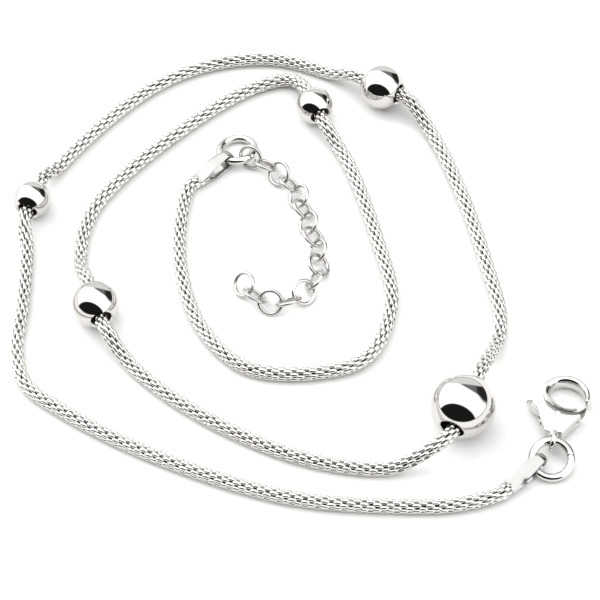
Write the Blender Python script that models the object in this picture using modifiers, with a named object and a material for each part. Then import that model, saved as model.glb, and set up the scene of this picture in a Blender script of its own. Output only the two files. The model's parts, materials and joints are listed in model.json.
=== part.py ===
"""A silver bead necklace, unclasped and laid open in a spiral on a flat surface.

A round mesh chain carries five hollow ball beads. Each end of the chain is held in a folded tag, which hooks
onto a thick jump ring. The outer ring holds a lobster clasp, and the inner ring holds an extender chain of
thin round links. X runs to the right, Y away from the viewer and Z up, in metres. The origin is the middle of
the necklace's box, on the surface that it lies on.
"""

import math

import bmesh
import bpy
import numpy as np
from mathutils import Matrix, Vector, geometry

MM = 0.001

# Mesh chain: a flexible tube, seen whole from tag to tag
CHAIN_DIAMETER = 1.9 * MM
CHAIN_SIDES_LEVEL = 2
CHAIN_POINT_COUNT = 78
CHAIN_TURN_WEIGHT = 24 * MM
CHAIN_MEETING_GAP = 0.3 * MM
CHAIN_TAG_GAP = 0.3 * MM
CHAIN_END_LEAD = 1.2 * MM

# Ball beads: turned hollow balls with a plain bore that the chain runs through
LARGE_BEAD_DIAMETER = 8.0 * MM
MEDIUM_BEAD_DIAMETER = 6.0 * MM
SMALL_BEAD_DIAMETER = 4.95 * MM
LARGE_BEAD_BORE = 3.0 * MM
MEDIUM_BEAD_BORE = 2.6 * MM
SMALL_BEAD_BORE = 2.5 * MM
BEAD_WALL = 0.4 * MM
BEAD_SIDES = 16
BEAD_ARC_STEPS = 8

# Chain beside a bead: it leaves the bore level, then comes down to the surface
BORE_LEAD = 0.5 * MM
LIFT_RUN_FACTOR = 3.0

# Jump rings
JUMP_RING_DIAMETER = 5.7 * MM
JUMP_RING_WIRE = 1.05 * MM
JUMP_RING_SIDES = 24
JUMP_RING_WIRE_SIDES = 8

# Folded tags
TAG_LENGTH = 6.2 * MM
TAG_WIDTH = 1.9 * MM
TAG_STRAP = 0.24 * MM
TAG_TAIL_HEIGHT = 1.0 * MM
TAG_LOOP_CLEARANCE = 0.26 * MM
TAG_LOOP_LENGTH = 3.7 * MM

# Lobster clasp, in its own frame: X across, Y from the eye towards the hook, Z through its thickness
CLASP_THICKNESS = 2.0 * MM
CLASP_EDGE = 0.3 * MM
CLASP_TILT = math.radians(3.4)
CLASP_HEADING = math.radians(-17.5)
HOOK_RADIUS = 3.2 * MM
HOOK_CENTRE = (0.1 * MM, -0.55 * MM)
HOOK_ARC = (math.radians(-33), math.radians(196))
OPENING_CENTRE = (0.4 * MM, -0.45 * MM)
OPENING_LENGTH = 4.4 * MM
OPENING_WIDTH = 3.6 * MM
OPENING_TURN = math.radians(-30)
NECK_WIDTH = 2.1 * MM
NECK_MIDDLE = -0.55 * MM
NECK_END = -6.3 * MM
LEFT_SHOULDER = (-2.75 * MM, -3.5 * MM)
RIGHT_SHOULDER = (2.25 * MM, -3.5 * MM)
EYE_DIAMETER = 2.8 * MM
EYE_WIRE = 0.65 * MM
EYE_TWIST = math.radians(14)
EYE_DROP = 0.15 * MM
CLASP_REST_GAP = 0.02 * MM

# Clasp lever, its pin and the slot that it works in
PIVOT = (-0.4 * MM, -3.6 * MM)
PIN_DIAMETER = 0.7 * MM
PIN_FIT = 0.04 * MM
LEVER_THICKNESS = 1.0 * MM
LEVER_SIDE_CLEARANCE = 0.08 * MM
LEVER_HUB_RADIUS = 0.95 * MM
HUB_CLEARANCE = 0.1 * MM
GATE_REACH = 3.46 * MM
GATE_CLEARANCE = 0.1 * MM
GATE_END_ANGLES = (math.radians(24), math.radians(36))
GAP_INNER_RADIUS = 2.45 * MM
GAP_ANGLES = (math.radians(16), math.radians(50))
SLOT_RIGHT_ANGLES = (math.radians(-25), math.radians(75))
SLOT_LEFT_ANGLES = (math.radians(140), math.radians(214))
SLOT_LEFT_REACH = 4.8 * MM
TAB_HEIGHT = 1.7 * MM

# The lever's edges about its pin, in parts of the gate's reach: above the hub, round the tab, below the hub
GATE_TOP_EDGE = ((0.55, 0.275), (0.165, 0.217), (-0.217, 0.162))
TAB_EDGE = ((-0.824, 0.477), (-1.07, 0.607), (-1.17, 0.549), (-1.17, 0.419), (-0.954, 0.303), (-0.853, 0.246))
GATE_BOTTOM_EDGE = ((-0.55, -0.014), (-0.26, -0.081), (0.246, -0.11), (0.665, -0.043), (0.824, 0.13))

# Extender chain
LINK_DIAMETER = 3.5 * MM
LINK_WIRE = 0.5 * MM
LINK_SIDES = 16
LINK_WIRE_SIDES = 6
LINK_PLAY = 0.16 * MM
LINK_ROLLS = (63.5, -40, 45, -44, 41, -45, 44, -40, 45, -42, 45, -45, 42, -45, 45, -42)
LINK_REST_GAP = 0.02 * MM

# Beads in order along the chain from the clasp: name, diameter, bore, place on the surface, heading in degrees
BEADS = (
    ("bead_small_outer", SMALL_BEAD_DIAMETER, SMALL_BEAD_BORE, (-33.2, 19.9), 68),
    ("bead_medium_outer", MEDIUM_BEAD_DIAMETER, MEDIUM_BEAD_BORE, (14.6, 30.9), -38),
    ("bead_large", LARGE_BEAD_DIAMETER, LARGE_BEAD_BORE, (17.9, -21.6), -121),
    ("bead_medium_inner", MEDIUM_BEAD_DIAMETER, MEDIUM_BEAD_BORE, (-25.7, 1.3), 103),
    ("bead_small_inner", SMALL_BEAD_DIAMETER, SMALL_BEAD_BORE, (5.3, 29.6), -74),
)
LARGE_BEAD_INDEX = 2

# The chain's route between the beads, in millimetres on the surface, from the clasp's tag to the extender's
CHAIN_ROUTE = (
    ((15.4, -33.3), (8.5, -32.5), (-4.7, -29.2), (-20.7, -20.6), (-31.5, -12.3), (-35.4, -8.0),
     (-36.3, -3.0), (-35.3, 4.1), (-34.4, 13.1)),
    ((-26.2, 29.7), (-16.1, 37.8), (-8.0, 40.6), (0.6, 40.1), (7.0, 36.8)),
    ((19.8, 24.5), (22.4, 14.3), (24.1, 1.4), (24.4, -8.5)),
    ((9.5, -27.2), (-0.3, -24.9), (-11.3, -18.2), (-20.6, -9.2)),
    ((-27.5, 10.5), (-24.9, 18.8), (-11.5, 30.6), (-1.5, 35.7), (2.6, 35.8)),
    ((8.5, 20.8), (10.8, 7.7), (11.4, -3.0), (7.3, -10.7), (0.8, -12.0), (-7.7, -9.9), (-12.8, -2.9),
     (-14.7, 7.0), (-14.0, 15.0)),
)

# The extender's route to its free end, in millimetres on the surface from the middle of its jump ring
EXTENDER_ROUTE = (
    (1.69, -2.06), (3.72, -3.53), (5.32, -5.48), (7.12, -8.78), (7.82, -12.58), (8.62, -16.98), (8.72, -20.58),
    (7.42, -23.78), (4.52, -25.78), (1.42, -25.48), (-0.78, -22.98), (-1.98, -19.98),
)

# Each end's fittings, in millimetres and degrees: where the tag's tail lies, which way it points, its roll about
# its own length and how far its loop is lifted, then the jump ring's middle ahead of the tag's tail and to its
# left, the ring's tilt and its lift off the surface
CLASP_TAG = {"tail": (22.01, -31.72), "heading": 33.8, "roll": 9.5, "lift": 0.36}
EXTENDER_TAG = {"tail": (-11.21, 20.79), "heading": 33.9, "roll": -5.7, "lift": 0.28}
CLASP_RING = {"tag": CLASP_TAG, "ahead": 6.117, "left": -0.75, "tilt": 15.4, "lift": 0.16}
EXTENDER_RING = {"tag": EXTENDER_TAG, "ahead": 6.894, "left": 0.416, "tilt": -10.5, "lift": 0.07}
EYE_RING_ANGLE = math.radians(80)


def clear_scene():
    """Remove every object, so that the script can be run again."""
    for obj in list(bpy.data.objects):
        bpy.data.objects.remove(obj, do_unlink=True)


def make_collection(name):
    """A collection linked to the scene."""
    collection = bpy.data.collections.new(name)
    bpy.context.scene.collection.children.link(collection)
    return collection


def silver(name, roughness, value=0.9):
    """Bright silver as a Principled material."""
    material = bpy.data.materials.new(name)
    material.use_nodes = True
    shader = material.node_tree.nodes["Principled BSDF"]
    shader.inputs["Base Color"].default_value = (value, value, value * 0.98, 1.0)
    shader.inputs["Metallic"].default_value = 1.0
    shader.inputs["Roughness"].default_value = roughness
    return material


def add_object(name, data, material, frame, collection):
    """Link an object of this data under the frame empty."""
    obj = bpy.data.objects.new(name, data)
    collection.objects.link(obj)
    obj.parent = frame
    data.materials.append(material)
    return obj


def smooth(mesh):
    """Shade round sides smooth and keep the sharp edges."""
    mesh.shade_smooth()
    mesh.set_sharp_from_angle(angle=math.radians(35))


def curve_through(points, step):
    """A smooth curve through the points: cubic pieces whose slope at each point is that of its neighbours.

    Returns points along it about a step apart.
    """
    points = np.asarray(points, float)
    chord = np.sqrt(np.linalg.norm(np.diff(points, axis=0), axis=1))
    knot = np.concatenate([[0.0], np.cumsum(chord)])
    slope = np.gradient(points, knot, axis=0)
    pieces = []
    for i, span in enumerate(np.diff(knot)):
        count = max(2, round(float(np.linalg.norm(points[i + 1] - points[i])) / step))
        t = np.linspace(0.0, 1.0, count, endpoint=False)[:, None]
        pieces.append(
            (2 * t**3 - 3 * t**2 + 1) * points[i] + (t**3 - 2 * t**2 + t) * span * slope[i]
            + (3 * t**2 - 2 * t**3) * points[i + 1] + (t**3 - t**2) * span * slope[i + 1]
        )
    return np.concatenate([*pieces, points[-1:]])


def length_along(line):
    """Distance along a line of points, from its first point to each."""
    return np.concatenate([[0.0], np.cumsum(np.linalg.norm(np.diff(line, axis=0), axis=1))])


def heading_vector(degrees):
    """Unit vector on the surface, turned from +X."""
    return np.array([math.cos(math.radians(degrees)), math.sin(math.radians(degrees))])


def chain_end(tag, distance):
    """A point in line with a tag, this far behind its tail."""
    return np.array(tag["tail"]) * MM - distance * heading_vector(tag["heading"])


def chain_centreline():
    """The chain's centreline as close points, and the distance along it of each bead's middle."""
    plan = [chain_end(CLASP_TAG, CHAIN_TAG_GAP), chain_end(CLASP_TAG, CHAIN_TAG_GAP + CHAIN_END_LEAD)]
    middles = []
    for stretch, points in enumerate(CHAIN_ROUTE):
        plan += [np.array(point) * MM for point in points]
        if stretch < len(BEADS):
            _, diameter, _, place, heading = BEADS[stretch]
            reach = (diameter / 2 + BORE_LEAD) * heading_vector(heading)
            middle = np.array(place) * MM
            plan += [middle - reach, middle, middle + reach]
            middles.append(middle)
    plan += [chain_end(EXTENDER_TAG, CHAIN_TAG_GAP + CHAIN_END_LEAD), chain_end(EXTENDER_TAG, CHAIN_TAG_GAP)]
    line = curve_through(plan, 0.2 * MM)
    along = length_along(line)
    stations = [along[np.argmin(np.linalg.norm(line - middle, axis=1))] for middle in middles]
    height = np.full(len(line), CHAIN_DIAMETER / 2)
    for (_, diameter, _, _, _), station in zip(BEADS, stations):
        rise = diameter / 2 - CHAIN_DIAMETER / 2
        beyond = np.abs(along - station) - diameter / 2 - BORE_LEAD
        share = np.clip(1 - beyond / (LIFT_RUN_FACTOR * rise), 0, 1)
        height += rise * (1 - np.cos(np.pi * share)) / 2
    return np.column_stack([line, height]), np.array(stations)


def spread(line, count):
    """Choose this many points along a line, closer together where it bends.

    Each radian that the line turns counts as much as the turn weight of straight run.
    """
    step = np.diff(line, axis=0)
    length = np.linalg.norm(step, axis=1)
    unit = step / length[:, None]
    turn = np.arccos(np.clip((unit[1:] * unit[:-1]).sum(axis=1), -1, 1))
    weight = length + CHAIN_TURN_WEIGHT * np.concatenate([[0.0], turn])
    reach = np.concatenate([[0.0], np.cumsum(weight)])
    wanted = np.linspace(0, reach[-1], count)
    return np.column_stack([np.interp(wanted, reach, line[:, axis]) for axis in range(3)])


def build_chain(material, frame, collection):
    """The mesh chain's tube in two stretches that meet inside the large bead."""
    line, stations = chain_centreline()
    along = length_along(line[:, :2])
    middle = stations[LARGE_BEAD_INDEX]
    outer = line[along < middle - CHAIN_MEETING_GAP / 2]
    inner = line[along > middle + CHAIN_MEETING_GAP / 2]
    outer_count = round(CHAIN_POINT_COUNT * len(outer) / (len(outer) + len(inner)))
    for name, stretch, count in (
        ("mesh_chain_outer", outer, outer_count),
        ("mesh_chain_inner", inner, CHAIN_POINT_COUNT - outer_count),
    ):
        points = spread(stretch, count)
        curve = bpy.data.curves.new(name, "CURVE")
        curve.dimensions = "3D"
        curve.bevel_depth = CHAIN_DIAMETER / 2
        curve.bevel_resolution = CHAIN_SIDES_LEVEL
        curve.use_fill_caps = True
        spline = curve.splines.new("POLY")
        spline.points.add(len(points) - 1)
        for point, place in zip(spline.points, points):
            point.co = (*place, 1.0)
        add_object(name, curve, material, frame, collection)


def bead_profile(diameter, bore):
    """The bead's wall as a closed outline beside its bore: down the outside, then up the inside."""
    outer = diameter / 2
    inner = outer - BEAD_WALL
    outer_end = math.asin(bore / 2 / outer)
    inner_end = math.asin(bore / 2 / inner)
    down = np.linspace(outer_end, math.pi - outer_end, BEAD_ARC_STEPS + 1)
    up = np.linspace(math.pi - inner_end, inner_end, BEAD_ARC_STEPS + 1)
    outside = np.column_stack([np.sin(down), np.cos(down)]) * outer
    inside = np.column_stack([np.sin(up), np.cos(up)]) * inner
    return np.concatenate([outside, inside])


def build_bead(name, diameter, bore, place, heading, material, frame, collection):
    """One hollow ball bead, turned about its bore, which lies level along the chain."""
    mesh = bpy.data.meshes.new(name)
    shape = bmesh.new()
    corners = [shape.verts.new((x, 0, z)) for x, z in bead_profile(diameter, bore)]
    for first, second in zip(corners, corners[1:] + corners[:1]):
        shape.edges.new((first, second))
    shape.to_mesh(mesh)
    shape.free()
    bead = add_object(name, mesh, material, frame, collection)
    screw = bead.modifiers.new("Turned ball", "SCREW")
    screw.steps = BEAD_SIDES
    screw.render_steps = BEAD_SIDES
    screw.use_merge_vertices = True
    screw.merge_threshold = 0.01 * MM
    bead.location = (place[0] * MM, place[1] * MM, diameter / 2)
    bead.rotation_euler = (0, math.radians(90), math.radians(heading))


def ring_mesh(name, diameter, wire, sides, wire_sides):
    """A round wire ring that lies flat about the origin."""
    bpy.ops.mesh.primitive_torus_add(
        major_radius=(diameter - wire) / 2,
        minor_radius=wire / 2,
        major_segments=sides,
        minor_segments=wire_sides,
    )
    obj = bpy.context.object
    mesh = obj.data
    mesh.name = name
    bpy.data.objects.remove(obj)
    smooth(mesh)
    return mesh


def jump_ring_middle(ring):
    """Middle of a jump ring on the surface: ahead of its tag's tail, so that its wire lies in the tag's loop."""
    tag = ring["tag"]
    ahead = heading_vector(tag["heading"])
    left = heading_vector(tag["heading"] + 90)
    return (np.array(tag["tail"]) + ring["ahead"] * ahead + ring["left"] * left) * MM


def jump_ring_frame(ring):
    """Place of a jump ring: tilted about X, with its lowest wire on the surface or lifted a little off it."""
    tilt = math.radians(ring["tilt"])
    swing = (JUMP_RING_DIAMETER - JUMP_RING_WIRE) / 2 * abs(math.sin(tilt))
    height = JUMP_RING_WIRE / 2 + ring["lift"] * MM + swing
    middle = Vector((*jump_ring_middle(ring), height))
    return Matrix.Translation(middle) @ Matrix.Rotation(tilt, 4, "X")


def build_jump_ring(name, ring, material, frame, collection):
    """One thick jump ring."""
    mesh = ring_mesh(name, JUMP_RING_DIAMETER, JUMP_RING_WIRE, JUMP_RING_SIDES, JUMP_RING_WIRE_SIDES)
    obj = add_object(name, mesh, material, frame, collection)
    place = jump_ring_frame(ring)
    obj.location = place.translation
    obj.rotation_euler = place.to_euler()


def circle_points(middle, radius, start=0.0, end=2 * math.pi, count=16):
    """Points on an arc, both ends included."""
    turn = np.linspace(start, end, count)
    return [(middle[0] + radius * math.cos(a), middle[1] + radius * math.sin(a)) for a in turn]


def belt(circles):
    """The outline of a belt pulled tight round circles, each given as (x, y, radius)."""
    points = []
    for x, y, radius in circles:
        points += circle_points((x, y), radius, count=21)[:-1]
    return [points[i] for i in geometry.convex_hull_2d([Vector(p) for p in points])]


def flat_plate(name, outlines, thickness, edge=0.0):
    """A plate of this thickness from flat outlines, the first its outside and the rest its holes.

    Its long edges are rounded by the edge radius. It is returned as a closed mesh about its mid-plane.
    """
    curve = bpy.data.curves.new(name, "CURVE")
    curve.dimensions = "2D"
    curve.fill_mode = "BOTH"
    curve.extrude = thickness / 2 - edge
    curve.bevel_depth = edge
    curve.bevel_resolution = 1
    curve.offset = -edge
    for outline in outlines:
        spline = curve.splines.new("POLY")
        spline.points.add(len(outline) - 1)
        for point, place in zip(spline.points, outline):
            point.co = (*place, 0, 1)
        spline.use_cyclic_u = True
    holder = bpy.data.objects.new(name, curve)
    bpy.context.scene.collection.objects.link(holder)
    bpy.context.view_layer.update()
    mesh = bpy.data.meshes.new_from_object(holder.evaluated_get(bpy.context.evaluated_depsgraph_get()))
    bpy.data.objects.remove(holder)
    mesh.name = name
    mesh.materials.clear()
    shape = bmesh.new()
    shape.from_mesh(mesh)
    bmesh.ops.remove_doubles(shape, verts=shape.verts, dist=0.002 * MM)
    bmesh.ops.recalc_face_normals(shape, faces=shape.faces)
    shape.to_mesh(mesh)
    shape.free()
    return mesh


def build_tag(name, tag, material, frame, collection):
    """A folded strap: a tongue at the chain's end and a long loop that goes round the jump ring's wire."""
    loop_inside = JUMP_RING_WIRE / 2 + TAG_LOOP_CLEARANCE
    loop_outside = loop_inside + TAG_STRAP
    tip = TAG_LENGTH - loop_outside
    start = TAG_LENGTH - TAG_STRAP - TAG_LOOP_LENGTH + loop_inside
    tail = TAG_TAIL_HEIGHT / 2
    outside = belt(((tail, 0, tail), (start, 0, loop_outside), (tip, 0, loop_outside)))
    hole = belt(((start, 0, loop_inside), (tip, 0, loop_inside)))
    mesh = flat_plate(name, (outside, hole[::-1]), TAG_WIDTH)
    smooth(mesh)
    obj = add_object(name, mesh, material, frame, collection)
    upright = Matrix.Rotation(math.radians(90), 4, "X")
    pitch = Matrix.Rotation(-math.asin(tag["lift"] * MM / (TAG_LENGTH - TAG_LOOP_LENGTH / 2)), 4, "Y")
    roll = Matrix.Rotation(math.radians(tag["roll"]), 4, "X")
    turn = Matrix.Rotation(math.radians(tag["heading"]), 4, "Z")
    place = Vector((tag["tail"][0] * MM, tag["tail"][1] * MM, CHAIN_DIAMETER / 2))
    obj.location = place
    obj.rotation_euler = (turn @ pitch @ roll @ upright).to_euler()


def polar_arc(angles, radius, count):
    """Points on an arc about the clasp's pin."""
    return circle_points(PIVOT, radius, angles[0], angles[1], count)


def clasp_frame_matrix():
    """Place of the clasp: its eye is centred on the jump ring's far wire, and its hook end lies on the surface."""
    ring = jump_ring_frame(CLASP_RING)
    radius = (JUMP_RING_DIAMETER - JUMP_RING_WIRE) / 2
    wire = ring @ Vector((radius * math.cos(EYE_RING_ANGLE), radius * math.sin(EYE_RING_ANGLE), 0))
    turn = Matrix.Rotation(CLASP_HEADING, 4, "Z") @ Matrix.Rotation(-CLASP_TILT, 4, "X")
    lowest = turn @ Vector((0, HOOK_CENTRE[1] + HOOK_RADIUS, 0))
    eye = turn @ Vector((*eye_place(), 0))
    place = Vector((wire.x - eye.x, wire.y - eye.y, CLASP_REST_GAP - lowest.z))
    return Matrix.Translation(place) @ turn, wire


def eye_place():
    """Middle of the eye in the clasp's own frame: its hole clears the neck's end."""
    hole = (EYE_DIAMETER - 2 * EYE_WIRE) / 2
    return (NECK_MIDDLE, NECK_END - hole - 0.05 * MM)


def cut(body, cutter):
    """Take the cutter's shape out of the body."""
    boolean = body.modifiers.new("Cut " + cutter.name, "BOOLEAN")
    boolean.operation = "DIFFERENCE"
    boolean.solver = "EXACT"
    boolean.object = cutter


def join(body, other):
    """Fuse the other shape into the body."""
    boolean = body.modifiers.new("Join " + other.name, "BOOLEAN")
    boolean.operation = "UNION"
    boolean.solver = "EXACT"
    boolean.object = other


def helper_object(name, mesh, frame, helpers):
    """A shape that only cuts or joins, and isn't part of the necklace."""
    obj = bpy.data.objects.new(name, mesh)
    helpers.objects.link(obj)
    obj.parent = frame
    obj.hide_render = True
    obj.display_type = "WIRE"
    return obj


def cylinder_mesh(name, radius, depth, sides=16):
    """An upright cylinder about the origin."""
    mesh = bpy.data.meshes.new(name)
    shape = bmesh.new()
    bmesh.ops.create_cone(shape, cap_ends=True, segments=sides, radius1=radius, radius2=radius, depth=depth)
    shape.to_mesh(mesh)
    shape.free()
    smooth(mesh)
    return mesh


def body_outline():
    """Outside of the clasp's plate: round the hook, down the left shoulder, across the neck and up the right."""
    left_neck = NECK_MIDDLE - NECK_WIDTH / 2
    right_neck = NECK_MIDDLE + NECK_WIDTH / 2
    hook = circle_points(HOOK_CENTRE, HOOK_RADIUS, HOOK_ARC[0], HOOK_ARC[1], 24)
    return [*hook, LEFT_SHOULDER, (left_neck, NECK_END), (right_neck, NECK_END), RIGHT_SHOULDER]


def opening_outline():
    """The oval opening inside the hook."""
    points = []
    for turn in np.linspace(0, 2 * math.pi, 24, endpoint=False):
        along = OPENING_LENGTH / 2 * math.cos(turn)
        across = OPENING_WIDTH / 2 * math.sin(turn)
        points.append((
            OPENING_CENTRE[0] + along * math.cos(OPENING_TURN) - across * math.sin(OPENING_TURN),
            OPENING_CENTRE[1] + along * math.sin(OPENING_TURN) + across * math.cos(OPENING_TURN),
        ))
    return points


def gap_outline():
    """The mouth between the hook's tip and the plate, bounded by arcs about the pin."""
    outer = GATE_REACH + GATE_CLEARANCE
    return polar_arc(GAP_ANGLES, outer, 8) + polar_arc(GAP_ANGLES[::-1], GAP_INNER_RADIUS, 6)


def slot_outline():
    """The mid-plane slot: a sector for the gate's swing, one for the tab's, and a round space for the hub."""
    hub = LEVER_HUB_RADIUS + HUB_CLEARANCE
    gate = GATE_REACH + GATE_CLEARANCE
    full = 2 * math.pi
    return (
        polar_arc(SLOT_RIGHT_ANGLES, gate, 10)
        + polar_arc((SLOT_RIGHT_ANGLES[1], SLOT_LEFT_ANGLES[0]), hub, 6)
        + polar_arc(SLOT_LEFT_ANGLES, SLOT_LEFT_REACH, 8)
        + polar_arc((SLOT_LEFT_ANGLES[1], SLOT_RIGHT_ANGLES[0] + full), hub, 8)
    )


def build_clasp_body(material, frame, collection, helpers, wire):
    """The cast body: a plate with a hook round its opening, a slot for the lever and an eye at its neck."""
    mesh = flat_plate("clasp_body", (body_outline(), opening_outline()[::-1]), CLASP_THICKNESS, CLASP_EDGE)
    body = add_object("clasp_body", mesh, material, frame, collection)
    middle = CLASP_THICKNESS / 2
    body.location = (0, 0, middle)

    eye = helper_object(
        "eye_shape", ring_mesh("eye_shape", EYE_DIAMETER, EYE_WIRE, 16, 8), frame, helpers
    )
    eye.location = (*eye_place(), (frame.matrix_world.inverted() @ wire).z - EYE_DROP)
    eye.rotation_euler = (0, math.radians(90) + EYE_TWIST, 0)

    tall = CLASP_THICKNESS * 2
    slot_height = LEVER_THICKNESS + 2 * LEVER_SIDE_CLEARANCE
    pin_radius = PIN_DIAMETER / 2 + PIN_FIT
    cutters = (
        ("mouth_cutter", flat_plate("mouth_cutter", (gap_outline(),), tall), (0, 0)),
        ("slot_cutter", flat_plate("slot_cutter", (slot_outline(),), slot_height), (0, 0)),
        ("pin_hole_cutter", cylinder_mesh("pin_hole_cutter", pin_radius, tall), PIVOT),
    )
    for name, shape, place in cutters:
        cutter = helper_object(name, shape, frame, helpers)
        cutter.location = (*place, middle)
        cut(body, cutter)
    join(body, eye)


def about_pin(edge):
    """An edge of the lever, from parts of the gate's reach to metres about the pin."""
    return [(x * GATE_REACH, y * GATE_REACH) for x, y in edge]


def lever_outline():
    """Outline of the gate and tab arms about the pin: the nose, over the hub, round the tab and back."""
    nose = circle_points((0, 0), GATE_REACH, GATE_END_ANGLES[0], GATE_END_ANGLES[1], 4)
    return nose + about_pin(GATE_TOP_EDGE + TAB_EDGE + GATE_BOTTOM_EDGE)


def build_lever(material, frame, collection, helpers):
    """The lever turns about the pin in the body's slot: its gate closes the mouth, its tab is pressed."""
    hinge = bpy.data.objects.new("lever_hinge", None)
    collection.objects.link(hinge)
    hinge.parent = frame
    hinge.location = (*PIVOT, CLASP_THICKNESS / 2)
    mesh = flat_plate("clasp_lever", (lever_outline(),), LEVER_THICKNESS)
    lever = add_object("clasp_lever", mesh, material, hinge, collection)
    hub = helper_object(
        "hub_shape", cylinder_mesh("hub_shape", LEVER_HUB_RADIUS, LEVER_THICKNESS, 20), hinge, helpers
    )
    tab = helper_object(
        "tab_shape", flat_plate("tab_shape", (about_pin(TAB_EDGE),), TAB_HEIGHT), hinge, helpers
    )
    hole = helper_object(
        "lever_hole_cutter",
        cylinder_mesh("lever_hole_cutter", PIN_DIAMETER / 2 + PIN_FIT, CLASP_THICKNESS),
        hinge,
        helpers,
    )
    join(lever, hub)
    join(lever, tab)
    cut(lever, hole)


def build_clasp(material, pin_material, frame, collection, helpers):
    """The lobster clasp: body, pin and lever on one tilted frame."""
    clasp_frame = bpy.data.objects.new("clasp_frame", None)
    collection.objects.link(clasp_frame)
    clasp_frame.parent = frame
    place, wire = clasp_frame_matrix()
    clasp_frame.location = place.translation
    clasp_frame.rotation_euler = place.to_euler()
    bpy.context.view_layer.update()
    build_clasp_body(material, clasp_frame, collection, helpers, wire)
    pin_mesh = cylinder_mesh("clasp_pin", PIN_DIAMETER / 2, CLASP_THICKNESS)
    pin = add_object("clasp_pin", pin_mesh, pin_material, clasp_frame, collection)
    pin.location = (*PIVOT, CLASP_THICKNESS / 2)
    build_lever(material, clasp_frame, collection, helpers)


def build_extender(material, frame, collection):
    """Round links along the extender's route: each lies rolled to the other side of its neighbours."""
    wire_ring = LINK_DIAMETER - LINK_WIRE
    pitch = wire_ring - LINK_WIRE - LINK_PLAY
    line = jump_ring_middle(EXTENDER_RING) + curve_through(np.array(EXTENDER_ROUTE) * MM, 0.1 * MM)
    along = length_along(line)
    mesh = ring_mesh("extender_link", LINK_DIAMETER, LINK_WIRE, LINK_SIDES, LINK_WIRE_SIDES)
    mesh.materials.append(material)
    for number, degrees in enumerate(LINK_ROLLS):
        roll = math.radians(degrees)
        height = wire_ring / 2 * math.sin(abs(roll)) + LINK_WIRE / 2 + LINK_REST_GAP
        station = number * pitch
        place = [np.interp(station, along, line[:, axis]) for axis in range(2)]
        ahead = [np.interp(station + pitch / 2, along, line[:, axis]) for axis in range(2)]
        behind = [np.interp(station - pitch / 2, along, line[:, axis]) for axis in range(2)]
        heading = math.atan2(ahead[1] - behind[1], ahead[0] - behind[0])
        link = bpy.data.objects.new(f"extender_link_{number + 1:02d}", mesh)
        collection.objects.link(link)
        link.parent = frame
        link.location = (place[0], place[1], height)
        turn = Matrix.Rotation(heading, 4, "Z") @ Matrix.Rotation(roll, 4, "X")
        link.rotation_euler = turn.to_euler()


def centre_on_surface(frame, collection):
    """Move the whole necklace so that the origin is the middle of its box, on the surface it lies on."""
    bpy.context.view_layer.update()
    graph = bpy.context.evaluated_depsgraph_get()
    low = np.full(3, np.inf)
    high = np.full(3, -np.inf)
    for obj in collection.objects:
        if obj.type == "EMPTY":
            continue
        evaluated = obj.evaluated_get(graph)
        mesh = evaluated.to_mesh()
        points = np.empty(len(mesh.vertices) * 3)
        mesh.vertices.foreach_get("co", points)
        evaluated.to_mesh_clear()
        world = np.array(evaluated.matrix_world)
        points = points.reshape(-1, 3) @ world[:3, :3].T + world[:3, 3]
        low = np.minimum(low, points.min(axis=0))
        high = np.maximum(high, points.max(axis=0))
    frame.location = (-(low[0] + high[0]) / 2, -(low[1] + high[1]) / 2, -low[2])


def main():
    clear_scene()
    parts = make_collection("beaded_necklace")
    helpers = make_collection("cutting_shapes")
    frame = bpy.data.objects.new("necklace_frame", None)
    parts.objects.link(frame)

    build_chain(silver("mesh_silver", 0.22, 0.86), frame, parts)
    for name, diameter, bore, place, heading in BEADS:
        build_bead(name, diameter, bore, place, heading, silver(name + "_silver", 0.04), frame, parts)
    build_tag("end_tag_clasp", CLASP_TAG, silver("tag_clasp_silver", 0.1), frame, parts)
    build_tag("end_tag_extender", EXTENDER_TAG, silver("tag_extender_silver", 0.1), frame, parts)
    build_jump_ring("jump_ring_clasp", CLASP_RING, silver("ring_clasp_silver", 0.06), frame, parts)
    build_jump_ring("jump_ring_extender", EXTENDER_RING, silver("ring_extender_silver", 0.06), frame, parts)
    build_clasp(silver("clasp_silver", 0.06), silver("pin_silver", 0.15), frame, parts, helpers)
    build_extender(silver("link_silver", 0.08), frame, parts)
    centre_on_surface(frame, parts)


main()
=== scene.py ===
# %% [markdown]
# # Dressing a silver bead necklace
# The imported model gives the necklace's solids at their true places and sizes. This lesson keeps those places
# and makes every surface again with the detail that the real one shows: a chain of small domes, mirror beads
# with rolled bore lips, cut jump rings, folded tags, a cast lobster clasp and soldered wire links.

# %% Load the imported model
import json
import math

import bpy
import numpy as np
from mathutils import Matrix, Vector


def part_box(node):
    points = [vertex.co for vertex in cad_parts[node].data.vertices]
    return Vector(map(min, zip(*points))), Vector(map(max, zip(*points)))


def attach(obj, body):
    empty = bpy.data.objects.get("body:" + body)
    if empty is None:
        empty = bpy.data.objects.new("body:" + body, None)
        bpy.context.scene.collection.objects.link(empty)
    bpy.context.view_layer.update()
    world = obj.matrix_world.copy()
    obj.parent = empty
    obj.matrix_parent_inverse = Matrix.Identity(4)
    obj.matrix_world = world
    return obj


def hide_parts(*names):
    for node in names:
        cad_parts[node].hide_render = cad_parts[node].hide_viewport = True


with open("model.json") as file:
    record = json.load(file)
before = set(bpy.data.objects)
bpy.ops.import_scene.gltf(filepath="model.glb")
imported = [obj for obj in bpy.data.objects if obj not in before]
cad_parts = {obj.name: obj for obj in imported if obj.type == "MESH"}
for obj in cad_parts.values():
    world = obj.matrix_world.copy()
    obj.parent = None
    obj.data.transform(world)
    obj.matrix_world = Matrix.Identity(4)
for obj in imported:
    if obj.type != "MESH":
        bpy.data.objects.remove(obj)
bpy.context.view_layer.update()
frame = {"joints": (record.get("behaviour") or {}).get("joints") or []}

MM = 0.001
BODY = "necklace"


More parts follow.
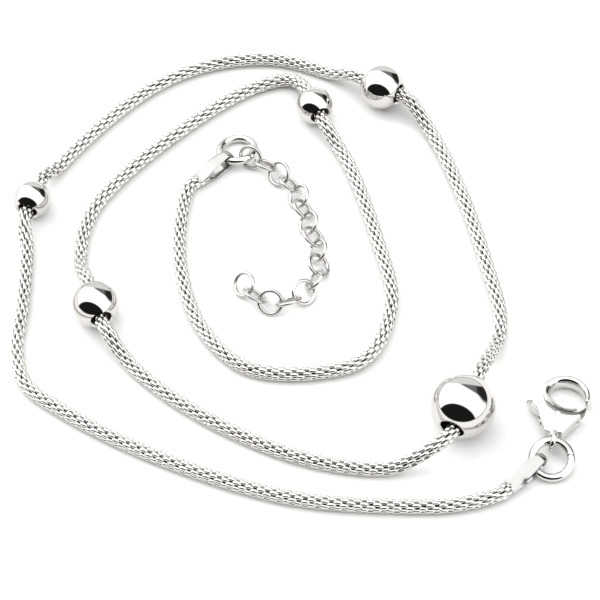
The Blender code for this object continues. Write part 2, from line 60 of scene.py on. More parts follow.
# %% [markdown]
# The chain lies on a table in a spiral. The places in this script are measured from the point of the table in
# the middle of the picture, while the model's own origin is the middle of its box. The large bead is round,
# so the middle of its box is its true middle, and it shows how far one origin lies from the other.

# %% Find the table's middle point in the model
# Each bead has a node, a diameter, a bore, a place on the table and a heading in degrees
BEADS = (
    ("bead_small_outer", 4.95, 2.5, (-33.2, 19.9), 68),
    ("bead_medium_outer", 6.0, 2.6, (14.6, 30.9), -38),
    ("bead_large", 8.0, 3.0, (17.9, -21.6), -121),
    ("bead_medium_inner", 6.0, 2.6, (-25.7, 1.3), 103),
    ("bead_small_inner", 4.95, 2.5, (5.3, 29.6), -74),
)
LARGE_BEAD = 2
box_low, box_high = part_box("bead_large")
table_middle = np.array((box_low + box_high) / 2)
table_middle[:2] -= np.array(BEADS[LARGE_BEAD][3]) * MM
table_middle[2] = 0
print("table point under the picture's middle, in mm:", np.round(table_middle / MM, 3))


# %% [markdown]
# The photograph was taken with a long lens from about 54 degrees above the table, with the camera rolled a
# little to one side. A camera is three unit vectors and a place: its right and up vectors are turned by the
# roll about the direction that it looks along.

# %% Set up the camera
VIEW_ELEVATION = math.radians(54.43)
VIEW_ROLL = math.radians(7.36)
VIEW_DISTANCE = 305.2 * MM
VIEW_LENS = 143.76
SENSOR_WIDTH = 36
NEAR_CLIP = 0.01

look = np.array([0, math.cos(VIEW_ELEVATION), -math.sin(VIEW_ELEVATION)])
level_right = np.array([1.0, 0, 0])
level_up = np.array([0, math.sin(VIEW_ELEVATION), math.cos(VIEW_ELEVATION)])
right = math.cos(VIEW_ROLL) * level_right - math.sin(VIEW_ROLL) * level_up
up = math.cos(VIEW_ROLL) * level_up + math.sin(VIEW_ROLL) * level_right
camera_data = bpy.data.cameras.new("studio_camera")
camera_data.lens = VIEW_LENS
camera_data.sensor_width = SENSOR_WIDTH
camera_data.clip_start = NEAR_CLIP
camera = bpy.data.objects.new("studio_camera", camera_data)
bpy.context.scene.collection.objects.link(camera)
placed = np.eye(4)
placed[:3, :3] = np.column_stack([right, up, -look])
placed[:3, 3] = table_middle - VIEW_DISTANCE * look
camera.matrix_world = Matrix(placed)
bpy.context.scene.camera = camera
bpy.context.scene.view_settings.view_transform = "Standard"
print("camera at, in mm:", np.round(placed[:3, 3] / MM, 1))


# %% [markdown]
# Every new surface here is a grid of points worked out with numpy: rows along a path and columns round it.
# Neighbouring points make quads. A grid that closes on itself has no ends, an open one gets a cap at each
# end, and the faces are turned to point outwards by the sign of the volume that they enclose.

# %% Helpers that turn grids of points into pieces
def grid_quads(rows, columns, close_rows=False, close_columns=True):
    """Quads of a grid: point (r, c) with its neighbours (r, c+1), (r+1, c+1) and (r+1, c)."""
    r, c = np.meshgrid(
        np.arange(rows - (not close_rows)), np.arange(columns - (not close_columns)), indexing="ij"
    )
    r_next, c_next = (r + 1) % rows, (c + 1) % columns
    corners = [r * columns + c, r * columns + c_next, r_next * columns + c_next, r_next * columns + c]
    return np.stack(corners, -1).reshape(-1, 4)


def end_caps(rows, columns):
    """One flat cap for the first row of a grid and one for the last, each a single face."""
    first = np.arange(columns)[::-1]
    return [first[None], (rows - 1) * columns + np.arange(columns)[None]]


def enclosed(points, face_sets):
    """Signed volume inside closed faces: the sum of the tetrahedra from the origin to each face."""
    total = 0.0
    for faces in face_sets:
        for k in range(1, faces.shape[1] - 1):
            a, b, c = points[faces[:, 0]], points[faces[:, k]], points[faces[:, k + 1]]
            total += (a * np.cross(b, c)).sum() / 6
    return total


class Shell:
    """Points and faces of one closed surface, with the faces turned outwards."""

    def __init__(self, points, face_sets):
        self.points = points.reshape(-1, 3)
        self.face_sets = face_sets
        if enclosed(self.points - self.points[0], face_sets) < 0:
            self.face_sets = [faces[:, ::-1] for faces in face_sets]

    def moved(self, matrix):
        """The shell with each point p at matrix times p."""
        matrix = np.array(matrix)
        return Shell(self.points @ matrix[:3, :3].T + matrix[:3, 3], self.face_sets)


def mesh_of(name, shell, sharp=38):
    """A Blender mesh from a shell, smooth but for edges sharper than this many degrees."""
    sizes = np.concatenate([np.full(len(faces), faces.shape[1]) for faces in shell.face_sets])
    corners = np.concatenate([faces.ravel() for faces in shell.face_sets])
    mesh = bpy.data.meshes.new(name)
    mesh.vertices.add(len(shell.points))
    mesh.vertices.foreach_set("co", shell.points.ravel())
    mesh.loops.add(len(corners))
    mesh.loops.foreach_set("vertex_index", corners)
    mesh.polygons.add(len(sizes))
    mesh.polygons.foreach_set("loop_start", np.cumsum(sizes) - sizes)
    mesh.update(calc_edges=True)
    mesh.validate()
    mesh.shade_smooth()
    mesh.set_sharp_from_angle(angle=math.radians(sharp))
    return mesh


def add_piece(name, mesh, material, replaced=(), body=BODY):
    """A finished piece of the necklace that rides on a body and stands for the solids that it replaces."""
    piece = bpy.data.objects.new(name, mesh)
    bpy.context.scene.collection.objects.link(piece)
    mesh.materials.clear()
    mesh.materials.append(material)
    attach(piece, body)
    if replaced:
        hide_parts(*replaced)


def rounded_section(half_width, half_height, squareness, count):
    """A closed oval: cos and sin raised to 2 over the squareness, so 2 is an ellipse and 8 nearly a box."""
    turn = np.linspace(0, 2 * np.pi, count, endpoint=False)
    power = 2 / squareness
    wave = np.stack([np.cos(turn), np.sin(turn)], -1)
    return np.sign(wave) * np.abs(wave) ** power * np.array([half_width, half_height])


def outward(turn):
    """Unit vectors in the XY plane at these angles: cosine, sine and 0."""
    return np.stack([np.cos(turn), np.sin(turn), 0 * turn], -1)


def upright(path):
    """The Z direction, once for each point of a path."""
    return np.broadcast_to([0, 0, 1.0], path.shape)


def carried(path, side, top, section):
    """A section carried along a path: path point plus section x times side plus section y times top."""
    return path[:, None] + section[..., :1] * side[:, None] + section[..., 1:] * top[:, None]


def tube(path, side, top, section):
    """A closed tube with flat ends, from a section carried along an open path."""
    points = carried(path, side, top, section)
    rows, columns = points.shape[:2]
    return Shell(points, [grid_quads(rows, columns), *end_caps(rows, columns)])


def unit(vectors):
    """Vectors divided by their own lengths."""
    return vectors / np.linalg.norm(vectors, axis=-1, keepdims=True)


def turned(axis, degrees):
    """A 4 by 4 matrix that turns about X, Y or Z: the cosine on the diagonal and plus and minus the sine."""
    i, j = {"X": (1, 2), "Y": (2, 0), "Z": (0, 1)}[axis]
    a = math.radians(degrees)
    matrix = np.eye(4)
    matrix[i, i] = matrix[j, j] = math.cos(a)
    matrix[j, i] = math.sin(a)
    matrix[i, j] = -math.sin(a)
    return matrix


def shifted(x, y, z):
    """A 4 by 4 matrix that moves to the table's middle point plus this much, in millimetres."""
    matrix = np.eye(4)
    matrix[:3, 3] = table_middle + np.array([x, y, z]) * MM
    return matrix


# %% [markdown]
# Polished silver has almost no colour of its own, so it looks like what it mirrors. What gives it away as
# metal is how the mirror image breaks up: hair-fine wiping scratches, a slow change between crisp and
# slightly hazed patches, and a trace of warmth where it has begun to tarnish. Noise textures on Object
# coordinates drive these, so the pattern stays on the metal.
#
# The photograph's table burns out to white, but its mirror image on the silver is light grey. So the colours
# here are darker than real silver's: the table mirrored in them is grey, and the brighter studio above stays
# white. The thin links and the satin tags are a little darker again, and the painted shade in recesses, in the
# bores and inside the chain is nearly black.

# %% Make the silvers
# Each finish has a bright and a tarnished colour, a smooth and a hazed roughness and a scratch strength
FINISHES = {
    "bead_silver": ((0.67, 0.66, 0.65), (0.60, 0.585, 0.565), 0.03, 0.06, 0.03),
    "dome_silver": ((0.72, 0.715, 0.70), (0.64, 0.63, 0.60), 0.10, 0.18, 0.10),
    "wire_silver": ((0.70, 0.695, 0.685), (0.62, 0.61, 0.59), 0.05, 0.11, 0.08),
    "cast_silver": ((0.70, 0.695, 0.685), (0.64, 0.63, 0.61), 0.05, 0.11, 0.04),
    "link_silver": ((0.60, 0.595, 0.585), (0.50, 0.49, 0.475), 0.12, 0.24, 0.1),
    "sheet_silver": ((0.475, 0.47, 0.46), (0.41, 0.405, 0.395), 0.14, 0.28, 0.12),
    "recess_painted_shade": ((0.24, 0.235, 0.225), (0.12, 0.115, 0.11), 0.15, 0.35, 0.1),
    "bore_painted_shade": ((0.11, 0.085, 0.072), (0.06, 0.048, 0.042), 0.35, 0.6, 0.2),
    "inside_painted_shade": ((0.03, 0.027, 0.024), (0.015, 0.013, 0.012), 0.5, 0.7, 0.2),
}
PATCH_SCALE = 420
PATCH_DETAIL = 4
PATCH_LOW = 0.38
PATCH_HIGH = 0.68
WIPE_SCALE = 700
WIPE_DETAIL = 3
WIPE_TURN = (0.4, 0.2, 0.7)
WIPE_STRETCH = (1, 14, 6)
SCRATCH_DEPTH = 0.00002


def new_node(nodes, kind, values):
    """A new shader node with these inputs set to these values."""
    node = nodes.new(kind)
    for socket, value in values.items():
        node.inputs[socket].default_value = value
    return node


def polished_silver(name, bright, tarnish, smooth, hazy, scratch):
    """Silver whose colour runs from bright to tarnish and roughness from smooth to hazy by slow noise."""
    material = bpy.data.materials.new(name)
    material.use_nodes = True
    nodes, links = material.node_tree.nodes, material.node_tree.links
    shader = nodes["Principled BSDF"]
    shader.inputs["Metallic"].default_value = 1.0
    place = nodes.new("ShaderNodeTexCoord").outputs["Object"]

    patches = new_node(nodes, "ShaderNodeTexNoise", {"Scale": PATCH_SCALE, "Detail": PATCH_DETAIL})
    links.new(place, patches.inputs["Vector"])
    ends = {"From Min": PATCH_LOW, "From Max": PATCH_HIGH, "To Min": smooth, "To Max": hazy}
    haze = new_node(nodes, "ShaderNodeMapRange", ends)
    links.new(patches.outputs["Fac"], haze.inputs["Value"])
    links.new(haze.outputs["Result"], shader.inputs["Roughness"])

    tint = nodes.new("ShaderNodeMix")
    tint.data_type = "RGBA"
    tint.inputs["A"].default_value = (*bright, 1)
    tint.inputs["B"].default_value = (*tarnish, 1)
    links.new(patches.outputs["Fac"], tint.inputs["Factor"])
    links.new(tint.outputs["Result"], shader.inputs["Base Color"])

    stretch = new_node(nodes, "ShaderNodeMapping", {"Rotation": WIPE_TURN, "Scale": WIPE_STRETCH})
    links.new(place, stretch.inputs["Vector"])
    wiping = new_node(nodes, "ShaderNodeTexNoise", {"Scale": WIPE_SCALE, "Detail": WIPE_DETAIL})
    links.new(stretch.outputs["Vector"], wiping.inputs["Vector"])
    bump = new_node(nodes, "ShaderNodeBump", {"Strength": scratch, "Distance": SCRATCH_DEPTH})
    links.new(wiping.outputs["Fac"], bump.inputs["Height"])
    links.new(bump.outputs["Normal"], shader.inputs["Normal"])
    return material


silvers = {name: polished_silver(name, *finish) for name, finish in FINISHES.items()}
print("silvers:", ", ".join(silvers))


# %% [markdown]
# The chain's route is a few chosen points on the table between beads whose place and direction are known. A
# cubic curve through them keeps the route smooth. At each bead the chain has to climb to the bore's height,
# so its own height is a cosine ramp beside each bead, level inside the bore and level again on the table.

# %% Lay the chain's centreline
CHAIN_RADIUS = 0.95
BORE_LEAD = 0.5
LIFT_RUN = 3.0
TAG_GAP = 0.3
END_LEAD = 1.2
GRIP = 1.3
ROUTE_STEP = 0.2
CLASP_TAG = {"tail": (22.01, -31.72), "heading": 33.8, "roll": 9.5, "lift": 0.36}
EXTENDER_TAG = {"tail": (-11.21, 20.79), "heading": 33.9, "roll": -5.7, "lift": 0.28}
CHAIN_ROUTE = (
    ((15.4, -33.3), (8.5, -32.5), (-4.7, -29.2), (-20.7, -20.6), (-31.5, -12.3), (-35.4, -8.0),
     (-36.3, -3.0), (-35.3, 4.1), (-34.4, 13.1)),
    ((-26.2, 29.7), (-16.1, 37.8), (-8.0, 40.5), (0.6, 40.05), (7.0, 36.8)),
    ((19.8, 24.5), (22.4, 14.3), (24.1, 1.4), (24.4, -8.5)),
    ((9.5, -27.2), (-0.3, -24.9), (-11.3, -18.2), (-20.6, -9.2)),
    ((-27.5, 10.5), (-24.9, 18.8), (-11.5, 30.6), (-1.5, 35.7), (2.6, 35.8)),
    ((8.5, 20.8), (10.8, 7.7), (11.4, -3.0), (7.3, -10.7), (0.8, -12.0), (-7.7, -9.9), (-12.8, -2.9),
     (-14.7, 7.0), (-14.0, 15.0)),
)


def curve_through(points, step):
    """Cubic pieces through points, each with its neighbours' slope; knots by the chord's square root."""
    points = np.asarray(points, float)
    chord = np.linalg.norm(np.diff(points, axis=0), axis=1)
    knot = np.concatenate([[0.0], np.cumsum(np.sqrt(chord))])
    slope = np.gradient(points, knot, axis=0)
    count = np.maximum(2, np.round(chord / step)).astype(int)
    piece = np.repeat(np.arange(len(count)), count)
    start = np.repeat(np.cumsum(count) - count, count)
    t = ((np.arange(len(piece)) - start) / count[piece])[:, None]
    span = np.diff(knot)[piece][:, None]
    line = (2 * t**3 - 3 * t**2 + 1) * points[piece] + (t**3 - 2 * t**2 + t) * span * slope[piece]
    line += (3 * t**2 - 2 * t**3) * points[piece + 1] + (t**3 - t**2) * span * slope[piece + 1]
    return np.concatenate([line, points[-1:]])


def length_along(line):
    """Distance from a line's first point to each of its points: the running sum of the steps' lengths."""
    return np.concatenate([[0.0], np.cumsum(np.linalg.norm(np.diff(line, axis=0), axis=1))])


def heading_vector(degrees):
    """Unit vector on the table, turned from +X: the angle's cosine and sine."""
    return np.array([math.cos(math.radians(degrees)), math.sin(math.radians(degrees))])


def behind_tag(tag, distance):
    """A point in line with a tag: its tail minus the distance times the tag's heading."""
    return np.array(tag["tail"]) - distance * heading_vector(tag["heading"])


plan = [behind_tag(CLASP_TAG, d) for d in (-GRIP, TAG_GAP, TAG_GAP + END_LEAD)]
for bead, stretch in zip((*BEADS, None), CHAIN_ROUTE):
    plan += [np.array(point) for point in stretch]
    if bead:
        reach = (bead[1] / 2 + BORE_LEAD) * heading_vector(bead[4])
        plan += [np.array(bead[3]) - reach, np.array(bead[3]), np.array(bead[3]) + reach]
plan += [behind_tag(EXTENDER_TAG, d) for d in (TAG_GAP + END_LEAD, TAG_GAP, -GRIP)]
route = curve_through(plan, ROUTE_STEP)
chain_along = length_along(route)
chain_length = chain_along[-1]
bead_stations = [
    chain_along[np.argmin(np.linalg.norm(route - np.array(bead[3]), axis=1))] for bead in BEADS
]
height = np.full(len(route), CHAIN_RADIUS)
for (_, diameter, _, _, _), station in zip(BEADS, bead_stations):
    rise = diameter / 2 - CHAIN_RADIUS
    beyond = np.abs(chain_along - station) - diameter / 2 - BORE_LEAD
    share = np.clip(1 - beyond / (LIFT_RUN * rise), 0, 1)
    height += rise * (1 - np.cos(np.pi * share)) / 2
chain_line = np.column_stack([route, height])
chain_forward = unit(np.gradient(chain_line, chain_along, axis=0))
chain_side = unit(np.cross([0, 0, 1.0], chain_forward))
chain_top = np.cross(chain_forward, chain_side)
print("chain length in mm:", round(chain_length, 1), "bead stations:", np.round(bead_stations, 1))


# %% [markdown]
# The mesh is woven from folded wire loops, and all that shows of a loop is a small oval dome. Six domes go
# round the chain, and the next ring of six is turned by half a step, so they nest like scales with a small
# dark gap where four meet. One dome is worked out in the chain's own coordinates, which are distance along,
# angle round and radius, and every dome of the chain is then bent onto the route in one array. A few dozen
# faces are enough for each. Hand weaving is never quite even, so each dome is moved and sized by a seeded
# trace of chance, and the whole weave twists slowly to and fro. A dark tube of painted shade fills the inside
# and shows in the gaps between the domes.

# %% Weave the mesh chain
WANTED_PITCH = 0.784
DOMES_ROUND = 6
DOME_HALF_LENGTH = 0.645
DOME_HALF_TURN = 0.425
DOME_HALF_HEIGHT = 0.36
DOME_INSET = 0.02
DOME_COLUMNS = 10
DOME_ROWS = np.radians([20, 44, 66, 92, 126])
BULGE_POWER = 0.7
OVAL_POWER = 0.9
PLACE_CHANCE = 0.02
SIZE_CHANCE = 0.025
LEAN_CHANCE = 0.05
LEAN_ALONG = 0.7
LEAN_ROUND = 1.4
TWIST = 0.35
TWIST_RINGS = 61
CHANCE_SEED = 7
PINCH_START = 0.7
PINCH_HEIGHT = 0.27
CORE_RADIUS = 0.60
CORE_SIDES = 12
CORE_STEP = 0.4
CORE_INSET = 0.1

ring_count = int(chain_length / WANTED_PITCH)
dome_pitch = chain_length / ring_count


def on_chain(station, angle, radius):
    """The point at a distance along the chain, an angle round it and a radius.

    It is the centreline's point plus radius times cosine sideways plus radius times sine upwards, and near
    the ends a smooth step shrinks the upward part, where the tags pinch the chain flat.
    """
    blend = [np.interp(station, chain_along, column) for column in
             np.concatenate([chain_line, chain_side, chain_top], axis=1).T]
    centre, side, top = (np.stack(blend[i:i + 3], -1) for i in (0, 3, 6))
    to_end = np.minimum(station, chain_length - station) - GRIP
    share = np.clip((PINCH_START - to_end) / (2 * PINCH_START), 0, 1)
    flat = 1 - (1 - PINCH_HEIGHT) * share**2 * (3 - 2 * share)
    across = (radius * np.cos(angle))[..., None] * side
    return centre + across + (radius * np.sin(angle) * flat)[..., None] * top


def dome_shells(rings, rng):
    """Closed domes of these rings of the chain: ovals in distance and angle that bulge outwards.

    Down a dome, the distance from the chain's axis is a seat plus half the height times the cosine, and the
    oval is as wide as the sine. Powers below 1 make it fuller than an ellipse.
    """
    ring, turn = np.meshgrid(rings, np.arange(DOMES_ROUND), indexing="ij")
    ring, turn = ring.ravel(), turn.ravel()
    chance = rng.normal(0, 1, (4, len(ring)))
    station = (ring + 0.5) * dome_pitch + PLACE_CHANCE * chance[0]
    angle = 2 * np.pi * (turn + 0.5 * (ring % 2)) / DOMES_ROUND + PLACE_CHANCE * chance[1]
    angle += TWIST * np.sin(ring / TWIST_RINGS)
    size = (1 + SIZE_CHANCE * chance[2])[:, None]
    lean = (LEAN_CHANCE * chance[3])[:, None]

    round_it = np.linspace(0, 2 * np.pi, DOME_COLUMNS, endpoint=False)
    down, about = np.meshgrid(DOME_ROWS, round_it, indexing="ij")
    wave = np.stack([np.cos(about), np.sin(about)])
    oval = np.sign(wave) * np.abs(wave) ** OVAL_POWER * np.sin(down) ** BULGE_POWER
    oval_x, oval_y, level = (
        np.concatenate([[top], part.ravel(), [bottom]])
        for part, top, bottom in ((oval[0], 0, 0), (oval[1], 0, 0), (np.cos(down), 1, -1))
    )
    turned_x = oval_x * np.cos(lean) - oval_y * np.sin(lean) * LEAN_ALONG
    turned_y = oval_y * np.cos(lean) + oval_x * np.sin(lean) * LEAN_ROUND
    seat = CHAIN_RADIUS - DOME_HALF_HEIGHT - DOME_INSET
    points = on_chain(
        station[:, None] + DOME_HALF_LENGTH * size * turned_x,
        angle[:, None] + DOME_HALF_TURN * size * turned_y,
        seat + DOME_HALF_HEIGHT * level[None] * np.ones_like(station)[:, None],
    )
    rows, columns = len(DOME_ROWS), DOME_COLUMNS
    quads = grid_quads(rows, columns) + 1
    edge = np.arange(columns)
    cap = np.stack([np.zeros(columns, int), 1 + (edge + 1) % columns, 1 + edge], -1)
    base = 1 + (rows - 1) * columns
    foot = np.stack([np.full(columns, rows * columns + 1), base + edge, base + (edge + 1) % columns], -1)
    each = np.arange(len(station))[:, None, None] * (rows * columns + 2)
    sets = [(faces[None] + each).reshape(-1, faces.shape[1]) for faces in (quads, cap, foot)]
    return Shell(points * MM + table_middle, sets)


rng = np.random.default_rng(CHANCE_SEED)
middle_ring = int(bead_stations[LARGE_BEAD] / dome_pitch)
stretches = (
    ("mesh_chain_outer_first", 0, middle_ring // 2, "mesh_chain_outer"),
    ("mesh_chain_outer_last", middle_ring // 2, middle_ring, "mesh_chain_outer"),
    ("mesh_chain_inner_first", middle_ring, (middle_ring + ring_count) // 2, "mesh_chain_inner"),
    ("mesh_chain_inner_last", (middle_ring + ring_count) // 2, ring_count, "mesh_chain_inner"),
)
for name, first, last, node in stretches:
    shell = dome_shells(np.arange(first, last), rng)
    add_piece(name, mesh_of(name, shell, sharp=180), silvers["dome_silver"], (node,))
    print(name, "domes:", (last - first) * DOMES_ROUND, "faces:", sum(len(f) for f in shell.face_sets))


def core_shell(first, last):
    """The dark inside of the mesh, painted shade between the domes: a circle of one radius at even steps along
    the route.
    """
    station, angle = np.meshgrid(
        np.linspace(first, last, int((last - first) / CORE_STEP)),
        np.linspace(0, 2 * np.pi, CORE_SIDES, endpoint=False), indexing="ij",
    )
    points = on_chain(station, angle, np.full(station.shape, CORE_RADIUS))
    rows, columns = station.shape
    return Shell(points * MM + table_middle, [grid_quads(rows, columns), *end_caps(rows, columns)])


# Dark tubes of painted shade fill the mesh along both stretches
for name, first, last in (
    ("chain_inside_outer", CORE_INSET, bead_stations[LARGE_BEAD]),
    ("chain_inside_inner", bead_stations[LARGE_BEAD], chain_length - CORE_INSET),
):
    add_piece(name, mesh_of(name, core_shell(first, last)), silvers["inside_painted_shade"])


# %% [markdown]
# A ball bead starts as a hollow ball, and the ends of its bore are pressed inwards over a mandrel, which
# leaves a small rolled lip. Its profile is one closed loop beside the bore's axis: down the outside, round
# the lip, up the inside of the wall and round the other lip. Turning the loop about the axis gives the bead.
# The inside of the wall is never polished, so its faces get a rough finish, and a near-black colour as painted
# shade inside the hollow ball.

# %% Turn the ball beads
BEAD_WALL = 0.4
LIP = 0.14
BEAD_COLUMNS = 128
OUTSIDE_STEPS = 57
INSIDE_STEPS = 25
LIP_STEPS = 6


def bead_profile(diameter, bore):
    """Closed loop of (distance from the axis, place along it): outer arc, lip, inner arc and lip."""
    outer, inner = diameter / 2, diameter / 2 - BEAD_WALL
    outside_end = math.asin((bore / 2 + LIP) / (outer - LIP))
    inside_end = math.asin((bore / 2 + LIP / 3) / inner)
    turn = np.linspace(outside_end, np.pi - outside_end, OUTSIDE_STEPS)
    outside = outer * np.stack([np.sin(turn), np.cos(turn)], -1)
    back = np.linspace(np.pi - inside_end, inside_end, INSIDE_STEPS)
    inside = inner * np.stack([np.sin(back), np.cos(back)], -1)
    share = np.linspace(0, 1, LIP_STEPS + 2)[1:-1, None]
    roll = -LIP * np.sin(np.pi * share) * [1, 0]
    lip_low = outside[-1] + (inside[0] - outside[-1]) * share + roll
    lip_high = (lip_low * [1, -1])[::-1]
    return np.concatenate([outside, lip_low, inside, lip_high])


spin = np.linspace(0, 2 * np.pi, BEAD_COLUMNS, endpoint=False)
across_bore = np.stack([0 * spin, np.cos(spin), np.sin(spin)], -1)
for name, diameter, bore, place, heading in BEADS:
    profile = bead_profile(diameter, bore)
    points = profile[None, :, :1] * across_bore[:, None] + profile[None, :, 1:] * np.array([1.0, 0, 0])
    shell = Shell(points * MM, [grid_quads(BEAD_COLUMNS, len(profile), close_rows=True)])
    shell = shell.moved(shifted(*place, diameter / 2) @ turned("Z", heading))
    mesh = mesh_of(name, shell, sharp=60)
    add_piece(name + "_ball", mesh, silvers["bead_silver"], (name,))
    mesh.materials.append(silvers["bore_painted_shade"])
    # The inner wall's faces get the painted shade seen through the bore
    first_inside = OUTSIDE_STEPS + LIP_STEPS - 1
    on_profile = np.arange(len(mesh.polygons)) % len(profile)
    hidden = (on_profile >= first_inside) & (on_profile < first_inside + INSIDE_STEPS)
    mesh.polygons.foreach_set("material_index", hidden.astype(np.int32))
    print(name, "faces:", len(mesh.polygons), "of them dark inside:", int(hidden.sum()))


# %% [markdown]
# A jump ring is a turn of thick round wire, sawn through and closed again, so its joint stays as a hairline.
# A link is the same in thin wire, soldered, with a slight swelling at the joint. Both are a circle of wire
# carried round a circle, and the wire's radius is a function of the angle round the ring.

# %% Bend the jump rings
JUMP_RING_DIAMETER = 5.7
JUMP_RING_WIRE = 1.05
SAW_GAP = 0.012
EDGE_WEAR = 0.09
EDGE_RUN = 0.03
SOLDER_SWELL = 0.1
SOLDER_RUN = 0.3
CLASP_RING = {"tag": CLASP_TAG, "ahead": 6.117, "left": -0.75, "tilt": 15.4, "lift": 0.16, "joint": 3}
EXTENDER_RING = {
    "tag": EXTENDER_TAG, "ahead": 6.894, "left": 0.416, "tilt": -10.5, "lift": 0.07, "joint": 172,
}
jump_ring_radius = (JUMP_RING_DIAMETER - JUMP_RING_WIRE) / 2


def wire_ring(radius, wire, joint, rows, columns, cut):
    """Wire round a circle: thinner by a falling exponential at a saw cut, thicker by a bell at a solder."""
    gap = SAW_GAP / radius if cut else 0
    turn = np.linspace(gap, 2 * np.pi - gap, rows, endpoint=cut)
    near = np.minimum(turn, 2 * np.pi - turn) * radius
    if cut:
        thickness = wire / 2 * (1 - EDGE_WEAR * np.exp(-near / EDGE_RUN))
    else:
        thickness = wire / 2 * (1 + SOLDER_SWELL * np.exp(-((near / SOLDER_RUN) ** 2)))
    out = outward(turn + math.radians(joint))
    section = rounded_section(1, 1, 2, columns)[None] * thickness[:, None, None]
    points = carried(radius * out, out, upright(out), section)
    caps = end_caps(rows, columns) if cut else []
    return Shell(points * MM, [grid_quads(rows, columns, close_rows=not cut), *caps])


def jump_ring_middle(ring):
    """A jump ring's middle on the table, ahead of its tag's tail and to the left of it."""
    tag = ring["tag"]
    ahead, left = heading_vector(tag["heading"]), heading_vector(tag["heading"] + 90)
    return np.array(tag["tail"]) + ring["ahead"] * ahead + ring["left"] * left


def jump_ring_place(ring):
    """A jump ring's place and tilt: it is half a wire, a lift and the radius times the tilt's sine up."""
    swing = jump_ring_radius * abs(math.sin(math.radians(ring["tilt"])))
    height = JUMP_RING_WIRE / 2 + ring["lift"] + swing
    return shifted(*jump_ring_middle(ring), height) @ turned("X", ring["tilt"])


for name, ring in (("jump_ring_clasp", CLASP_RING), ("jump_ring_extender", EXTENDER_RING)):
    shell = wire_ring(jump_ring_radius, JUMP_RING_WIRE, ring["joint"], rows=145, columns=28, cut=True)
    mesh = mesh_of(name, shell.moved(jump_ring_place(ring)))
    add_piece(name + "_wire", mesh, silvers["wire_silver"], (name,))
    print(name, "faces:", len(shell.face_sets[0]))


# %% [markdown]
# The extender's links lie on the table in a row, each tilted to the other side of its neighbours so that it
# can pass through them. Their middles lie on a curve at even steps, and each link faces along the curve.

# %% Lay the extender's links
LINK_RADIUS = 1.5
LINK_WIRE = 0.5
LINK_PLAY = 0.16
LINK_REST_GAP = 0.02
LINK_ROLLS = (63.5, -40, 45, -44, 41, -45, 44, -40, 45, -42, 45, -45, 42, -45, 45, -42)
FIRST_SOLDER = 80
SOLDER_STEP = 37
EXTENDER_STEP = 0.1
EXTENDER_ROUTE = (
    (1.69, -2.06), (3.72, -3.53), (5.32, -5.48), (7.12, -8.78), (7.82, -12.58), (8.62, -16.98),
    (8.72, -20.58), (7.42, -23.78), (4.52, -25.78), (1.42, -25.48), (-0.78, -22.98), (-1.98, -19.98),
)
extender_line = jump_ring_middle(EXTENDER_RING) + curve_through(EXTENDER_ROUTE, EXTENDER_STEP)
extender_along = length_along(extender_line)
link_pitch = 2 * LINK_RADIUS - LINK_WIRE - LINK_PLAY
for number, roll in enumerate(LINK_ROLLS):
    stations = (number + np.array([-0.5, 0, 0.5])) * link_pitch
    near = np.column_stack([np.interp(stations, extender_along, extender_line[:, k]) for k in (0, 1)])
    heading = math.degrees(math.atan2(*(near[2] - near[0])[::-1]))
    rise = LINK_RADIUS * math.sin(math.radians(abs(roll))) + LINK_WIRE / 2 + LINK_REST_GAP
    solder = FIRST_SOLDER + SOLDER_STEP * number
    shell = wire_ring(LINK_RADIUS, LINK_WIRE, solder, rows=64, columns=14, cut=False)
    shell = shell.moved(shifted(*near[1], rise) @ turned("Z", heading) @ turned("X", roll))
    node = f"extender_link_{number + 1:02d}"
    add_piece(node + "_wire", mesh_of(node, shell), silvers["link_silver"], (node,))
print("links:", len(LINK_ROLLS), "pitch in mm:", round(link_pitch, 2))


# %% [markdown]
# Each tag is one strip of sheet, folded back on itself round the jump ring. Its two ends are squeezed
# together over the flattened end of the chain. The strip is a thin section with rounded edges, carried along
# its own side view and tapering towards the fold.

# %% Fold the end tags
TAG_LENGTH = 6.2
TAG_WIDTH = 1.9
TAG_STRAP = 0.3
TAG_LOOP = 0.905
TAG_LOOP_RUN = 3.7
TAG_TAPER_START = 2.2
TAG_TAPER = 0.42
TAG_TAPER_POWER = 1.5
TAG_FOLD_BACK = 0.45
TAG_FOLD_POINTS = 13
TAG_STEP = 0.1
TAG_SQUARENESS = 2.4
TAG_COLUMNS = 28
TAG_LOWER = ((-0.12, -0.37), (0.8, -0.4), (1.5, -0.56), (2.2, -0.83), (3.1, -TAG_LOOP))
TAG_UPPER = ((3.1, TAG_LOOP), (2.2, 0.85), (1.3, 0.58), (0.6, 0.42), (-0.12, 0.37))


